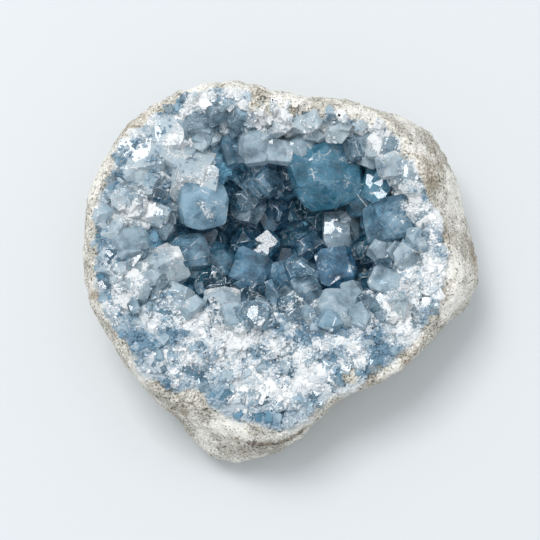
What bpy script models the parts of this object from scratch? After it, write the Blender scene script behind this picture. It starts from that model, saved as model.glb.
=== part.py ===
"""Celestite geode: half of a broken limestone nodule, with a hollow lined by blue celestite crystals.

Frame: metres, +Z up, origin under the middle of the footprint, the broad side of the rim towards -Y.
The rock is a loft through rings of stations, from the flat spot that it rests on, up the outside, over the
broken rim and down into the hollow. Each crystal is a box cut by planes, as flat as the faces of the real ones.
The crystals are joined with the thin lining that they grow from into one crust, a hair clear of the rock.
Lengths in the tables are millimetres and angles are degrees.
"""

import math
import random
from collections import namedtuple

import bmesh
import bpy
from mathutils import Matrix, Vector, noise
from mathutils.bvhtree import BVHTree

MM = 0.001

# The rock's rings. Their stations lie 22.5 degrees apart and go anticlockwise from +X.
Ring = namedtuple("Ring", "centre radii heights")
RINGS = [
    Ring((0, -2), [34, 35, 36, 33, 32, 34, 35, 35, 34, 33, 32, 35, 33, 27, 28, 31], [0] * 16),
    Ring(
        (0, -2),
        [60, 61, 62, 56, 54, 58, 60, 60, 58, 55, 53, 62, 58, 43, 44, 50],
        [9, 10, 13, 18, 18, 18, 17, 15, 13, 11, 9, 6, 6, 12, 13, 12],
    ),
    Ring(
        (0, 0),
        [78, 78, 83, 71, 70, 80, 82, 79, 74, 68, 66, 70, 65, 53, 56, 62],
        [27, 28, 35, 46, 46, 46, 44, 40, 36, 31, 25, 17, 18, 32, 36, 34],
    ),
    Ring(
        (0, 0),
        [66, 66, 72, 66, 65, 75, 77, 75, 71, 67, 65, 58, 62, 52, 55, 60],
        [50, 53, 57, 60, 61, 58, 56, 54, 52, 49, 46, 42, 40, 42, 44, 47],
    ),
    Ring(
        (1, 8),
        [56, 57, 60, 54, 51, 60, 64, 65, 62, 61, 57, 49, 50, 47, 50, 54],
        [53, 56, 59, 61, 61, 58, 55, 53, 51, 49, 48, 46, 44, 45, 47, 49],
    ),
    Ring(
        (2, 18),
        [47, 47, 47, 40, 38, 43, 46, 49, 52, 54, 45, 37, 35, 39, 48, 47],
        [50, 53, 55, 56, 54, 51, 49, 48, 46, 45, 45, 46, 45, 46, 47, 48],
    ),
    Ring(
        (3, 15),
        [41, 42, 42, 36, 33, 35, 37, 41, 43, 43, 36, 29, 26, 28, 36, 40],
        [33, 35, 38, 40, 38, 37, 36, 35, 34, 32, 31, 31, 31, 31, 32, 32],
    ),
    Ring((3, 12), [22, 23, 24, 22, 20, 21, 22, 22, 22, 21, 19, 17, 16, 17, 19, 21], [19] * 16),
    Ring((3, 12), [0] * 16, [17] * 16),
]
RIM_EDGE, HOLLOW_EDGE, BOTTOM = 3, 5, 8
STEPS_TO_NEXT_RING = [3, 4, 5, 4, 3, 2, 2, 1]
AROUND = 48
LIFT_OVER_BASE = 0.4

# How uneven each stretch of the surface is: (size of the lumps, how far they stand out).
RIND_LUMPS = [(26, 2.4), (10, 1.3)]
RIM_LUMPS = [(15, 2.2), (6, 1.4)]
HOLLOW_LUMPS = [(16, 1.5)]

# The crust's lining, and how far it spreads from the hollow's edge (0) towards the rim's edge (1).
LINING_AROUND, LINING_ROWS = 24, 6
LINING_PROUD, LINING_DEPTH, LINING_EDGE_DIP = 1.3, 4.0, 1.5
SPREAD = [0.4, 0.4, 0.3, 0.25, 0.4, 0.8, 0.95, 0.85, 0.6, 0.3, 0.15, 0.1, 0.1, 0.15, 0.3, 0.4]
CRUST_GAP = 0.3

# A crystal: the middle of its end, the way it points (bearing anticlockwise from +X, and rise above level), its
# width, thickness and length, its turn about its own axis, and the kind of its end.
Crystal = namedtuple("Crystal", "tip bearing rise size turn end")
LARGE_CRYSTALS = [
    # Back wall.
    Crystal((17, 37, 50), -85, 64, (29, 27, 36), 15, "dome"),
    Crystal((29, 46, 56), -110, 62, (13, 11, 22), 30, "roof"),
    Crystal((-18, 47, 46), -80, 50, (12, 14, 26), 10, "wedge"),
    Crystal((-5, 36, 43), -80, 58, (12, 13, 28), 35, "roof"),
    Crystal((-16, 38, 37), -70, 45, (9, 9, 22), 20, "roof"),
    Crystal((-10, 47, 52), -95, 65, (10, 14, 22), 10, "slab"),
    Crystal((0, 46, 51), -90, 62, (10, 13, 22), 80, "slab"),
    Crystal((-22, 59, 51), -80, 45, (13, 10, 22), 20, "roof"),
    Crystal((-14, 58, 51), -85, 45, (11, 10, 22), 60, "roof"),
    Crystal((8, 46, 53), -90, 55, (9, 9, 20), 30, "roof"),
    # Rim at the back left.
    Crystal((-26, 66, 62), 100, 55, (8, 9, 14), 20, "slab"),
    Crystal((-32, 65, 61), 95, 70, (14, 8, 14), 0, "slab"),
    Crystal((-18, 66, 61), 90, 65, (9, 9, 14), 40, "roof"),
    Crystal((-39, 59, 61), 120, 75, (10, 10, 14), 30, "roof"),
    Crystal((-44, 53, 60), -110, 78, (13, 12, 18), 25, "slab"),
    Crystal((-41, 45, 55), -45, 66, (19, 13, 24), 20, "wedge"),
    Crystal((-53, 44, 57), -90, 75, (17, 11, 18), 5, "slab"),
    Crystal((-61, 45, 56), 170, 75, (9, 10, 16), 40, "roof"),
    Crystal((-57, 38, 56), -120, 75, (12, 9, 16), 0, "wedge"),
    Crystal((-30, 54, 56), -70, 64, (11, 12, 20), 50, "roof"),
    # Left wall.
    Crystal((-28, 25, 51), -50, 66, (20, 19, 32), 20, "dome"),
    Crystal((-33, 36, 55), -70, 72, (19, 14, 28), 65, "roof"),
    Crystal((-47, 22, 53), -20, 68, (10, 9, 20), 10, "roof"),
    Crystal((-56, 11, 55), 10, 74, (9, 15, 20), 0, "slab"),
    Crystal((-55, -6, 52), 60, 74, (13, 10, 18), 15, "slab"),
    Crystal((-62, 16, 56), 40, 78, (9, 11, 16), 30, "wedge"),
    Crystal((-43, 4, 49), 20, 68, (12, 17, 24), 10, "roof"),
    Crystal((-33, 10, 43), 15, 60, (10, 13, 24), 0, "slab"),
    Crystal((-39, 22, 38), -10, 45, (10, 10, 24), 40, "wedge"),
    Crystal((-47, 16, 34), 0, 40, (8, 8, 20), 20, "roof"),
    # Floor.
    Crystal((-22, 9, 36), 30, 65, (11, 12, 24), 30, "dome"),
    Crystal((-12, 7, 33), 60, 72, (12, 13, 22), 5, "slab"),
    Crystal((-3, 4, 33), 90, 70, (11, 13, 22), 20, "wedge"),
    Crystal((8, 6, 32), 100, 72, (14, 14, 22), 40, "roof"),
    Crystal((-9, 26, 34), -50, 40, (15, 10, 26), 30, "wedge"),
    Crystal((-6, 16, 31), 120, 82, (11, 9, 20), 10, "slab"),
    Crystal((22, 22, 34), 170, 75, (18, 12, 24), 10, "slab"),
    Crystal((21, 6, 33), 100, 80, (13, 16, 22), 3, "slab"),
    Crystal((9, 20, 26), 0, 80, (10, 10, 16), 30, "roof"),
    Crystal((-16, 24, 29), -20, 65, (9, 9, 20), 50, "roof"),
    Crystal((5, 29, 25), -80, 60, (9, 9, 20), 20, "wedge"),
    # Right wall.
    Crystal((30, 28, 38), -120, 50, (9, 10, 30), 20, "wedge"),
    Crystal((35, 33, 46), -150, 60, (11, 15, 28), 35, "wedge"),
    Crystal((41, 23, 50), 180, 66, (15, 19, 30), 10, "dome"),
    Crystal((39, 11, 46), 165, 64, (15, 14, 26), 60, "wedge"),
    Crystal((40, -4, 50), 150, 70, (10, 15, 24), 5, "slab"),
    Crystal((41, 45, 60), -130, 75, (10, 11, 20), 20, "wedge"),
    Crystal((48, 36, 60), -160, 76, (11, 9, 18), 70, "roof"),
    # Front wall.
    Crystal((21, -12, 46), 95, 68, (17, 13, 24), 20, "dome"),
    Crystal((28, -6, 41), 100, 62, (8, 12, 22), 10, "slab"),
    Crystal((38, -13, 51), 120, 76, (11, 9, 18), 15, "wedge"),
    Crystal((-23, -8, 41), 80, 60, (14, 11, 24), 15, "dome"),
    Crystal((-37, -8, 47), 60, 66, (12, 9, 20), 10, "roof"),
    Crystal((3, -5, 38), 90, 60, (8, 8, 20), 30, "roof"),
    Crystal((-7, -10, 41), 90, 60, (11, 9, 20), 70, "roof"),
    Crystal((34, 2, 32), 130, 55, (9, 9, 22), 40, "roof"),
]

# A crystal's faces: (bearing, tilt from the crystal's axis, where the face starts as a share of half the crystal's
# size in that bearing). The jitter is how far each of the three may be off.
END_FACES = {
    "roof": [(0, 52, 0.1), (180, 50, 0.15), (90, 62, 0.45), (270, 60, 0.5)]
    + [(k * 90 + 45, 58, 0.5) for k in range(4)],
    "dome": [(k * 72 + 20, 22, 0.25) for k in range(5)]
    + [(k * 45 + 10, 46, 0.62) for k in range(8)]
    + [(k * 45 + 32, 72, 0.93) for k in range(8)],
    "slab": [(30, 16, 0.2), (180, 40, 0.6), (90, 50, 0.7), (270, 62, 0.75)]
    + [(k * 90 + 45, 60, 0.75) for k in range(4)],
    "wedge": [(0, 36, -0.1), (180, 64, 0.45), (90, 60, 0.6), (270, 58, 0.55)]
    + [(k * 90 + 45, 62, 0.6) for k in range(4)],
    "grain": [(10, 48, 0.1), (130, 52, 0.2), (250, 56, 0.3)],
}
SIDE_FACES = [(k * 90 + 45, 90, 0.84) for k in range(4)]
FACE_JITTER = (7, 5, 0.07)

# The small crystals between the large ones. They crowd towards the edge, are smaller there and lean at random.
SMALL_CRYSTALS = 150
SMALL_WIDTHS = (4.5, 9.0)
SMALL_SLIMMEST = 0.6
SMALL_AT_EDGE = 0.65
SMALL_CROWDING = 0.6
SMALL_LEAN = 0.5
SMALL_UPWARD_PULL = 0.5
SMALL_STAND_OUT = (0.6, 1.0)
SMALL_ROOT = 1.3
SEED = 41

LIMESTONE = {"colour": (0.72, 0.72, 0.7), "roughness": 0.9, "transmission": 0.0}
CELESTITE = {"colour": (0.3, 0.48, 0.6), "roughness": 0.12, "transmission": 0.8}


def smooth(a, b, c, d, t):
    """The point at t on the smooth curve from b to c, where a comes before them and d after (Catmull-Rom)."""
    return b + 0.5 * t * ((c - a) + t * (2 * a - 5 * b + 4 * c - d + t * (3 * (b - c) + d - a)))


def around(values, turn):
    """A station value at a share of a turn, on the smooth closed curve through all of them."""
    place = turn % 1.0 * len(values)
    first = int(place)
    return smooth(*(values[(first + k) % len(values)] for k in (-1, 0, 1, 2)), place - first)


def direction(bearing, rise):
    """The unit vector at a bearing and a rise in degrees."""
    flat = math.cos(math.radians(rise))
    return Vector(
        (
            flat * math.cos(math.radians(bearing)),
            flat * math.sin(math.radians(bearing)),
            math.sin(math.radians(rise)),
        )
    )


def ring_point(ring, turn):
    """The point of a ring at a share of a turn."""
    outwards = direction(360 * turn, 0) * around(ring.radii, turn)
    return Vector((*ring.centre, around(ring.heights, turn))) + outwards


def surface_point(turn, level):
    """The rock's smooth surface at a bearing and a level: level 3.5 is half way from ring 3 to ring 4."""
    first = min(int(level), BOTTOM - 1)
    near = [ring_point(RINGS[min(max(first + k, 0), BOTTOM)], turn) for k in (-1, 0, 1, 2)]
    return smooth(*near, level - first)


def crust_point(turn, share):
    """The rock's smooth surface under the crust: share 0 is the crust's edge and share 1 the hollow's bottom."""
    edge = HOLLOW_EDGE - (HOLLOW_EDGE - RIM_EDGE) * around(SPREAD, turn)
    return surface_point(turn, edge + (BOTTOM - edge) * share)


def lumps(point, sizes):
    """How far the rough surface stands out at a point."""
    return sum(height * noise.noise(point / size + Vector((size, 0, 0))) for size, height in sizes)


def loft(rows):
    """A mesh through rows of points that all run the same way round. The last row is one point."""
    bm = bmesh.new()
    made = [[bm.verts.new(point) for point in row] for row in rows]
    for low, high in zip(made[:-1], made[1:]):
        for k, vert in enumerate(low):
            after = (k + 1) % len(low)
            corners = [vert, low[after], *([high[0]] if len(high) == 1 else [high[after], high[k]])]
            bm.faces.new(corners)
    bm.normal_update()
    return bm, made


def as_mesh(bm, name):
    """Turns a bmesh into a mesh."""
    mesh = bpy.data.meshes.new(name)
    bm.to_mesh(mesh)
    bm.free()
    return mesh


def rock_mesh():
    """The rock, with its lumps, in millimetres."""
    levels = [ring + step / steps for ring, steps in enumerate(STEPS_TO_NEXT_RING) for step in range(steps)]
    rows = [[surface_point(k / AROUND, level) for k in range(AROUND)] for level in levels]
    bm, made = loft([*rows, [surface_point(0, BOTTOM)]])
    moves = []
    for level, row in zip(levels[1:], made[1:-1]):
        sizes = RIND_LUMPS if level < RIM_EDGE else RIM_LUMPS if level < HOLLOW_EDGE else HOLLOW_LUMPS
        moves += [(vert, vert.normal * lumps(vert.co, sizes)) for vert in row]
    for vert, move in moves:
        vert.co = vert.co + move
        vert.co.z = max(vert.co.z, LIFT_OVER_BASE)
    bmesh.ops.triangulate(bm, faces=bm.faces)
    bm.faces.new(reversed(made[0]))
    return as_mesh(bm, "rock_matrix")


def lining_mesh(rock):
    """The thin layer under the crystals: it follows the rock's hollow and dips into the rock at its edge."""
    rows = []
    for row in range(LINING_ROWS):
        stand_out = LINING_PROUD if row else -LINING_EDGE_DIP
        near = [rock.find_nearest(crust_point(k / LINING_AROUND, row / LINING_ROWS)) for k in range(LINING_AROUND)]
        rows.append([found + normal * stand_out for found, normal, _, _ in near])
    found, normal, _, _ = rock.find_nearest(surface_point(0, BOTTOM))
    bm, _ = loft([*rows, [found + normal * LINING_PROUD]])
    return as_mesh(bm, "lining")


def swollen(mesh, distance):
    """A copy of a closed mesh with its surface moved outwards."""
    bm = bmesh.new()
    bm.from_mesh(mesh)
    bm.normal_update()
    for vert, move in [(vert, vert.normal * distance) for vert in bm.verts]:
        vert.co = vert.co + move
    return as_mesh(bm, "swollen_rock")


def cut_face(bm, point, normal):
    """Cuts a convex block by a plane, drops what lies outside it and closes the cut with one face."""
    geometry = [*bm.verts, *bm.edges, *bm.faces]
    cut = bmesh.ops.bisect_plane(bm, geom=geometry, dist=1e-5, plane_co=point, plane_no=normal, clear_outer=True)
    edges = [item for item in cut["geom_cut"] if isinstance(item, bmesh.types.BMEdge)]
    if edges:
        bmesh.ops.holes_fill(bm, edges=edges, sides=0)


def crystal_mesh(crystal, rng):
    """One crystal in place, as a closed block with flat faces."""
    width, thickness, length = crystal.size
    bm = bmesh.new()
    bmesh.ops.create_cube(bm, size=1.0)
    bmesh.ops.scale(bm, vec=(width, thickness, length), verts=bm.verts)
    bmesh.ops.translate(bm, vec=(0, 0, -length / 2), verts=bm.verts)
    sides = [] if crystal.end == "grain" else SIDE_FACES
    for face in sides + END_FACES[crystal.end]:
        bearing, tilt, start = (value + rng.uniform(-off, off) for value, off in zip(face, FACE_JITTER))
        out = direction(bearing, 0)
        half = abs(out.x) * width / 2 + abs(out.y) * thickness / 2
        cut_face(bm, out * half * start, direction(bearing, max(90 - tilt, 0)))
    bmesh.ops.recalc_face_normals(bm, faces=bm.faces)
    turned = direction(crystal.bearing, crystal.rise).to_track_quat("Z", "Y").to_matrix().to_4x4()
    own_turn = Matrix.Rotation(math.radians(crystal.turn), 4, "Z")
    bm.transform(Matrix.Translation(crystal.tip) @ turned @ own_turn)
    return as_mesh(bm, "crystal")


def small_crystal(rock, rng):
    """A crystal for the gaps between the large ones, standing on the rock's hollow."""
    turn = rng.random()
    edgeward = rng.random() ** SMALL_CROWDING
    root, normal, _, _ = rock.find_nearest(crust_point(turn, 1 - edgeward))
    lean = Vector([rng.uniform(-SMALL_LEAN, SMALL_LEAN) for _ in range(3)])
    axis = (normal + Vector((0, 0, SMALL_UPWARD_PULL)) + lean).normalized()
    width = rng.uniform(*SMALL_WIDTHS) * (1 - (1 - SMALL_AT_EDGE) * edgeward)
    size = (width, width * rng.uniform(SMALL_SLIMMEST, 1), width * SMALL_ROOT + LINING_DEPTH)
    tip = root + axis * width * rng.uniform(*SMALL_STAND_OUT)
    bearing = math.degrees(math.atan2(axis.y, axis.x))
    rise = math.degrees(math.asin(axis.z))
    return Crystal(tip, bearing, rise, size, rng.uniform(0, 180), "grain")


def crystals_mesh(rock):
    """All the crystals in one mesh. They still run through each other."""
    rng = random.Random(SEED)
    small = [small_crystal(rock, rng) for _ in range(SMALL_CRYSTALS)]
    joined = bmesh.new()
    for crystal in LARGE_CRYSTALS + small:
        mesh = crystal_mesh(crystal, rng)
        joined.from_mesh(mesh)
        bpy.data.meshes.remove(mesh)
    return as_mesh(joined, "crystals")


def evaluated_mesh(item):
    """An object's mesh with its modifiers applied."""
    graph = bpy.context.evaluated_depsgraph_get()
    return bpy.data.meshes.new_from_object(item.evaluated_get(graph))


def combined(item, other, operation):
    """The mesh of an object after one exact Boolean with another. The object may run through itself."""
    boolean = item.modifiers.new(operation, "BOOLEAN")
    boolean.operation = operation
    boolean.solver = "EXACT"
    boolean.use_self = True
    boolean.object = other
    mesh = evaluated_mesh(item)
    item.modifiers.remove(boolean)
    return mesh


def island_of(start):
    """The vertices that are joined to one vertex by edges."""
    island = {start}
    newest = {start}
    while newest:
        reached = {edge.other_vert(vert) for vert in newest for edge in vert.link_edges}
        newest = reached - island
        island |= newest
    return island


def drop_loose_chips(mesh):
    """Keeps only the largest island of a mesh: a chip that the cut leaves loose is no part of the crust."""
    bm = bmesh.new()
    bm.from_mesh(mesh)
    islands = []
    unseen = dict.fromkeys(bm.verts)
    while unseen:
        islands.append(island_of(next(iter(unseen))))
        for vert in islands[-1]:
            del unseen[vert]
    islands.sort(key=len)
    for island in islands[:-1]:
        bmesh.ops.delete(bm, geom=list(island), context="VERTS")
    bm.to_mesh(mesh)
    bm.free()


def material(name, finish):
    """A plain material in a finish's colour."""
    made = bpy.data.materials.new(name)
    made.use_nodes = True
    shader = made.node_tree.nodes["Principled BSDF"]
    shader.inputs["Base Color"].default_value = (*finish["colour"], 1)
    shader.inputs["Roughness"].default_value = finish["roughness"]
    shader.inputs["Metallic"].default_value = 0
    shader.inputs["Transmission Weight"].default_value = finish["transmission"]
    return made


def make_collection(name):
    """A collection under the scene's own."""
    collection = bpy.data.collections.new(name)
    bpy.context.scene.collection.children.link(collection)
    return collection


def make_cutter(name, mesh):
    """An object that only helps to shape others."""
    made = bpy.data.objects.new(name, mesh)
    cutters.objects.link(made)
    made.hide_render = True
    made.display_type = "WIRE"
    return made


for item in list(bpy.data.objects):
    bpy.data.objects.remove(item)
geode = make_collection("celestite_geode")
cutters = make_collection("cutters")

rock = rock_mesh()
rock_tree = BVHTree.FromPolygons([vert.co for vert in rock.vertices], [face.vertices for face in rock.polygons])

lining = make_cutter("lining", lining_mesh(rock_tree))
backing = lining.modifiers.new("backing", "SOLIDIFY")
backing.thickness = LINING_DEPTH
backing.offset = -1
backed_lining = make_cutter("backed_lining", evaluated_mesh(lining))
crystals = make_cutter("crystals", crystals_mesh(rock_tree))
rock_cutter = make_cutter("rock_cutter", swollen(rock, CRUST_GAP))
grown = make_cutter("grown", combined(crystals, backed_lining, "UNION"))
crust = combined(grown, rock_cutter, "DIFFERENCE")
drop_loose_chips(crust)

# The origin goes under the middle of the footprint, and the sizes become metres.
points = [vert.co for mesh in (rock, crust) for vert in mesh.vertices]
lowest = [min(point[axis] for point in points) for axis in (0, 1)]
highest = [max(point[axis] for point in points) for axis in (0, 1)]
middle = Vector([(low + high) / 2 for low, high in zip(lowest, highest)] + [0])
into_frame = Matrix.Scale(MM, 4) @ Matrix.Translation(-middle)
for name, mesh, finish in (
    ("rock_matrix", rock, material("limestone", LIMESTONE)),
    ("crystal_crust", crust, material("celestite", CELESTITE)),
):
    mesh.transform(into_frame)
    mesh.materials.clear()
    mesh.materials.append(finish)
    geode.objects.link(bpy.data.objects.new(name, mesh))
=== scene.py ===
"""The look of a celestite geode: half of a broken nodule, its hollow lined with blue crystals.

The rock's surface, the crystals' roots and the limits of it all come from the frame's solids. A length that
is written as a number times MM is in the frame's metres, and the object's other lengths are in millimetres.
"""

import bisect
import itertools
import math
import random
from collections import namedtuple

import bmesh
import bpy
from mathutils import Matrix, Vector, noise
from mathutils.bvhtree import BVHTree
from mathutils.geometry import intersect_point_line


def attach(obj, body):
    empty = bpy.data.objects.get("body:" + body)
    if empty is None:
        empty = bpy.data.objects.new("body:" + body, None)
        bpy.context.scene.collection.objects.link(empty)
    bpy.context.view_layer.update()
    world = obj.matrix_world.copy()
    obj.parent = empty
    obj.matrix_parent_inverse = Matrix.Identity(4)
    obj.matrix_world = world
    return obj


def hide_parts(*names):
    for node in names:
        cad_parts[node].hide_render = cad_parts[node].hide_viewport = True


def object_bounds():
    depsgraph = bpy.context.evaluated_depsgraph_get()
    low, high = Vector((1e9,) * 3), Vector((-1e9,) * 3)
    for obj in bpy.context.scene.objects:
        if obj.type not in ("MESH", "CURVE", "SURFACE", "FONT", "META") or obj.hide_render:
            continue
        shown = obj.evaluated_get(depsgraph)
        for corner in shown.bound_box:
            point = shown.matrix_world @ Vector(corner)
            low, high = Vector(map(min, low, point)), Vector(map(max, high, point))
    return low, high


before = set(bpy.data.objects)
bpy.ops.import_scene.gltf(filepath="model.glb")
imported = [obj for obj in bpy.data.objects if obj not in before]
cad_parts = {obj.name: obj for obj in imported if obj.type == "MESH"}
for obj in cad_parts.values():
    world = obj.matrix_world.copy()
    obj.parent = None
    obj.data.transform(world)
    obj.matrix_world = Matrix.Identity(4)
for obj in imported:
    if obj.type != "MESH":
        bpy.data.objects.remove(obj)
cad_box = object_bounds()

# The nodule. A lump of limestone as large as a hand, grown in the ground: its rind is weathered cream and
# grey, and where it was broken open the rim is white granular celestite with blue-grey grains in it. Its
# surface starts from the frame's solid, is laid out anew in a fine even grid, and is then made uneven.
MM = 0.001
ROCK_GRID = 0.87 * MM
ROCK_MERGE = 0.01 * MM
UP = Vector((0, 0, 1))
# The tables below are measured from a point that lies here in the frame.
TABLE_ZERO = Vector((-0.80, -3.73, 0)) * MM
# How far the rim's outer edge is from the tables' zero, at bearings 22.5 degrees apart, from +X towards +Y.
RIM_EDGE = [65, 64, 64, 63, 65, 75, 77, 75, 71, 67, 65, 58, 62, 52, 55, 60]
# How grey the rim is towards that edge, at bearings 45 degrees apart, and how far in that reaches. A value
# under 0 stands for whiter.
RIM_GREYNESS = [-0.3, -0.3, 0, -0.6, 1, 1, 1, 0]
RIM_GREY_ZONE = 18 * MM
# Rock that faces down is rind too. The least upward part of a rim face's normal, and how far inside the edge
# each unit above it counts.
RIM_LEVEL_SLOPE = 0.05
RIM_SLOPE_REACH = 20 * MM
# The uneven surface: (size of the forms, how far they stand out or how steep they lean).
RIND_LUMPS = [(6.5, 0.7), (2.8, 0.5), (1.5, 0.4)]
RIM_FACETS = [(5.5, 0.5), (10, 0.3), (2.2, 0.7)]
# The rind's pits: how far apart and how deep they are, how wide as a share of their distance, and the size
# and the share of the patches that have them.
RIND_PIT_SIZE, RIND_PIT_DEPTH, RIND_PIT_RADIUS = 3.4, 0.5, 0.35
RIND_PIT_PATCH, RIND_PIT_SHARE = 11, 0.25
# How high one facet of the rim may stand over the next, as a share of its size, and how far apart their own
# values are looked up.
RIM_STEP = 0.16
CELL_SPREAD = 10
# How wide the change from the rim's facets to the rind's lumps is, and how near the crust covers them.
RIM_TO_RIND = 1.5 * MM
COVER_REACH = 1.2 * MM
# Where weathered stone shows through the rim: (centre, how far it spreads). Then how much it draws the fresh
# rim back, how deep it is for a full stain, and the most of that stain.
WEATHERED = [((2, 60, 58), 17), ((26, -39, 44), 5), ((-33, -45, 40), 9)]
WEATHERED_DRAW = 2
WEATHERED_STAIN, WEATHERED_STAIN_MOST = 40, 0.6
# The brown crevice that runs under the front edge: its points, and how far its stain spreads. Along it the
# rind is a brown stain, and darker with dark grains as painted shade in the crevice.
CREVICE = [Vector(point) for point in ((-33, -44, 40), (-18, -59, 34), (-6, -67, 34), (18, -56, 36))]
CREVICE_REACH = 4.0
# What the material reads at each point of the rock.
STONE_LAYERS = ("inset", "cover", "grain", "stain", "grey")


def linear(colour):
    """The linear values of an sRGB hex colour."""
    parts = [int(colour[k : k + 2], 16) / 255 for k in (1, 3, 5)]
    return (*(p / 12.92 if p <= 0.04045 else ((p + 0.055) / 1.055) ** 2.4 for p in parts), 1)


def add_node(tree, kind, settings=(), inputs=(), output=0):
    """Adds a node and returns one of its outputs. An input is a value, or the output that is linked to it."""
    node = tree.nodes.new(kind)
    for name, value in dict(settings).items():
        setattr(node, name, value)
    for name, value in dict(inputs).items():
        if isinstance(value, bpy.types.NodeSocket):
            tree.links.new(value, node.inputs[name])
        else:
            node.inputs[name].default_value = value
    return node.outputs[output]


def per_mm(size):
    """The scale of a pattern whose forms are this many millimetres across."""
    return 1 / (size * MM)


def new_material(name):
    """An empty material, with its node tree and its Principled shader linked to the output."""
    material = bpy.data.materials.new(name)
    material.use_nodes = True
    tree = material.node_tree
    return material, tree, tree.nodes["Principled BSDF"]


def finish_piece(name, mesh, material, slot, *nodes):
    """Makes the piece's object, which stands for CAD nodes where it replaces any."""
    piece = bpy.data.objects.new(name, mesh)
    bpy.context.scene.collection.objects.link(piece)
    mesh.materials.clear()
    mesh.materials.append(material)
    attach(piece, "root")
    if nodes:
        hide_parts(*nodes)
    return piece


def store(bm, mesh):
    """Writes a bmesh to a mesh, and frees it."""
    bm.to_mesh(mesh)
    bm.free()


def keep_in_box(bm):
    """Holds every vertex inside the CAD model's box."""
    low, high = cad_box
    for vert in bm.verts:
        vert.co = [min(max(value, a), b) for value, a, b in zip(vert.co, low, high)]


def node_tree_of(node):
    """The search tree over a CAD node's surface."""
    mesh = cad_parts[node].data
    return BVHTree.FromPolygons([v.co for v in mesh.vertices], [p.vertices for p in mesh.polygons])


def around(values, bearing):
    """A value between stations that lie evenly round a circle, at a bearing in radians."""
    place = bearing / math.tau % 1.0 * len(values)
    first = int(place)
    share = place - first
    return values[first] * (1 - share) + values[(first + 1) % len(values)] * share


def rim_inset(point, normal):
    """How far a point is inside the rim's edge. It is under 0 on the rind and where the rock faces down."""
    out = point - TABLE_ZERO
    inset = around(RIM_EDGE, math.atan2(out.y, out.x)) * MM - math.hypot(out.x, out.y)
    return min(inset, (normal.z - RIM_LEVEL_SLOPE) * RIM_SLOPE_REACH)


def rim_greyness(point):
    """How grey the rim is at a point."""
    out = point - TABLE_ZERO
    inward = min(max(rim_inset(point, UP) / RIM_GREY_ZONE, 0), 1)
    return (1 - inward) * around(RIM_GREYNESS, math.atan2(out.y, out.x))


def leaning_facets(point, size, lean):
    """The height at a point of a surface broken into flat facets, each with its own lean and step."""
    place = point / (size * MM)
    cell = noise.voronoi(place)[1][0]
    own = noise.cell_vector(cell * CELL_SPREAD) - Vector((0.5, 0.5, 0.5))
    return ((place - cell).dot(own) * lean + own.x * RIM_STEP) * size * MM


def rind_height(point):
    """The weathered rind's lumps and pits."""
    height = sum(noise.noise(point / (size * MM)) * stand_out * MM for size, stand_out in RIND_LUMPS)
    near = noise.voronoi(point / (RIND_PIT_SIZE * MM))[0][0]
    is_pitted = noise.noise(point / (RIND_PIT_PATCH * MM)) > 0.5 - RIND_PIT_SHARE
    pit = max(0, 1 - near / RIND_PIT_RADIUS) if is_pitted else 0
    return height - pit * RIND_PIT_DEPTH * MM


def weathering(point):
    """How far weathered stone reaches over the rim at a point, in millimetres."""
    place = (point - TABLE_ZERO) / MM
    return max(max(reach - (place - Vector(centre)).length, 0) for centre, reach in WEATHERED)


def fresh_inset(inset, point):
    """How far a point is inside the fresh rim's edge, in millimetres. Weathered stone draws it in."""
    return inset / MM - WEATHERED_DRAW * weathering(point)


def crevice_stain_and_shade(point):
    """How brown and how shaded a point is from the crevice, from 0 to 1: a brown stain, and painted shade."""
    place = (point - TABLE_ZERO) / MM
    away = []
    for start, end in itertools.pairwise(CREVICE):
        nearest, share = intersect_point_line(place, start, end)
        nearest = start.lerp(end, min(max(share, 0), 1))
        away.append((place - nearest).length)
    return max(1 - min(away) / CREVICE_REACH, 0)


rock_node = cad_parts["rock_matrix"]
rock_tree = node_tree_of("rock_matrix")
crust_tree = node_tree_of("crystal_crust")

bm = bmesh.new()
bm.from_mesh(rock_node.data)
bmesh.ops.remove_doubles(bm, verts=bm.verts, dist=ROCK_MERGE)
rock_cage = bpy.data.meshes.new("rock_cage")
store(bm, rock_cage)
cage_object = bpy.data.objects.new("rock_cage", rock_cage)
bpy.context.scene.collection.objects.link(cage_object)
grid = cage_object.modifiers.new("grid", "REMESH")
grid.mode = "VOXEL"
grid.voxel_size = ROCK_GRID
rock_mesh = bpy.data.meshes.new_from_object(cage_object.evaluated_get(bpy.context.evaluated_depsgraph_get()))
bpy.data.objects.remove(cage_object)

bm = bmesh.new()
bm.from_mesh(rock_mesh)
bm.normal_update()
inset_layer, cover_layer, grain_layer, stain_layer, grey_layer = [
    bm.verts.layers.float.new(name) for name in STONE_LAYERS
]
moves = []
for vert in bm.verts:
    point = vert.co
    normal = rock_tree.find_nearest(point)[1]
    inset = rim_inset(point, normal)
    covered = crust_tree.find_nearest(point, COVER_REACH)[0] is not None
    rim = min(max(inset / RIM_TO_RIND + 0.5, 0), 1)
    height = 0 if covered else (1 - rim) * rind_height(point)
    if rim:
        height += rim * sum(leaning_facets(point, size, lean) for size, lean in RIM_FACETS)
    facet = noise.voronoi(point / (RIM_FACETS[0][0] * MM))[1][0]
    vert[inset_layer] = fresh_inset(inset, point)
    vert[cover_layer] = covered
    vert[grain_layer] = noise.cell(facet * CELL_SPREAD)
    vert[stain_layer] = crevice_stain_and_shade(point) + min(weathering(point) / WEATHERED_STAIN, WEATHERED_STAIN_MOST)
    vert[grey_layer] = rim_greyness(point)
    moves.append(height * normal)
for vert, move in zip(bm.verts, moves):
    on_base = vert.co.z < ROCK_GRID / 2
    vert.co += move * (0 if on_base else 1)
    vert.co.z = 0 if on_base else max(vert.co.z, ROCK_GRID / 2)
keep_in_box(bm)
for face in bm.faces:
    face.smooth = max(vert[inset_layer] for vert in face.verts) < 0
store(bm, rock_mesh)

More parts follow.
